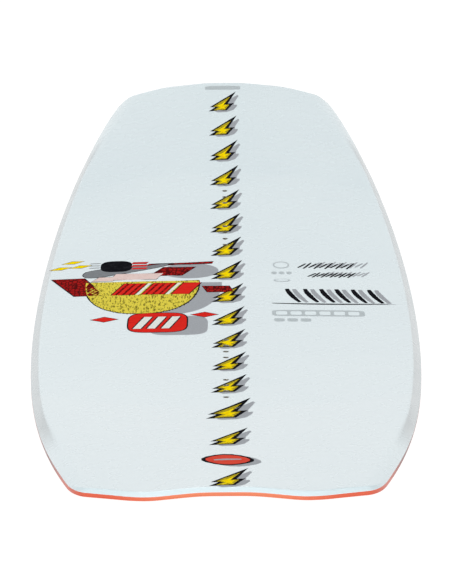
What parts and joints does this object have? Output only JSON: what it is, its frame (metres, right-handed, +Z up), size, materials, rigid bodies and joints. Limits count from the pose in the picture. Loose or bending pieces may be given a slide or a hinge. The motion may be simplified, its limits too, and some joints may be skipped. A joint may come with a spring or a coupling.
{
  "type": "wakeboard",
  "caption": "Twin-tip wakeboard without bindings: rockered sandwich deck with bevelled rails, a centreline row of threaded inserts and low removable fins under the tips.",
  "frame": {"origin": "middle of the flat spot of the base, on which the board rests, in the plane of that flat", "axes": "+X across the board to its right, +Y along the board towards its front tip, +Z up out of the deck"},
  "size_m": [0.438, 1.52, 0.0789],
  "materials": {
    "topsheet": "glossy white deck film with printed graphics",
    "glass_laminate": "cured glass fibre in clear resin",
    "core_wood": "planed light wood, unfinished",
    "insert_block": "dense moulded block, matt",
    "base": "glossy orange running base",
    "rail": "cast orange urethane, semi-gloss",
    "insert_brass": "turned metal, bright",
    "screw_steel": "stainless steel, bright",
    "fin": "black moulded nylon, satin"
  },
  "bodies": {
    "root": {"base_sheet": "base", "binding_insert_front_1": "insert_brass", "binding_insert_front_2": "insert_brass", "binding_insert_front_3": "insert_brass", "binding_insert_front_4": "insert_brass", "binding_insert_front_5": "insert_brass", "binding_insert_front_6": "insert_brass", "binding_insert_front_7": "insert_brass", "binding_insert_front_8": "insert_brass", "binding_insert_rear_1": "insert_brass", "binding_insert_rear_2": "insert_brass", "binding_insert_rear_3": "insert_brass", "binding_insert_rear_4": "insert_brass", "binding_insert_rear_5": "insert_brass", "binding_insert_rear_6": "insert_brass", "binding_insert_rear_7": "insert_brass", "binding_insert_rear_8": "insert_brass", "bottom_laminate": "glass_laminate", "core_center_front": "core_wood", "core_center_middle": "core_wood", "core_center_rear": "core_wood", "core_left_inner": "core_wood", "core_left_middle": "core_wood", "core_left_outer": "core_wood", "core_right_inner": "core_wood", "core_right_middle": "core_wood", "core_right_outer": "core_wood", "fin_front_left": "fin", "fin_front_right": "fin", "fin_insert_front_left_inner": "insert_brass", "fin_insert_front_left_outer": "insert_brass", "fin_insert_front_right_inner": "insert_brass", "fin_insert_front_right_outer": "insert_brass", "fin_insert_rear_left_inner": "insert_brass", "fin_insert_rear_left_outer": "insert_brass", "fin_insert_rear_right_inner": "insert_brass", "fin_insert_rear_right_outer": "insert_brass", "fin_rear_left": "fin", "fin_rear_right": "fin", "fin_screw_front_left_inner": "screw_steel", "fin_screw_front_left_outer": "screw_steel", "fin_screw_front_right_inner": "screw_steel", "fin_screw_front_right_outer": "screw_steel", "fin_screw_rear_left_inner": "screw_steel", "fin_screw_rear_left_outer": "screw_steel", "fin_screw_rear_right_inner": "screw_steel", "fin_screw_rear_right_outer": "screw_steel", "insert_block_front": "insert_block", "insert_block_rear": "insert_block", "rail": "rail", "top_laminate": "glass_laminate", "topsheet": "topsheet"}
  },
  "joints": []
}
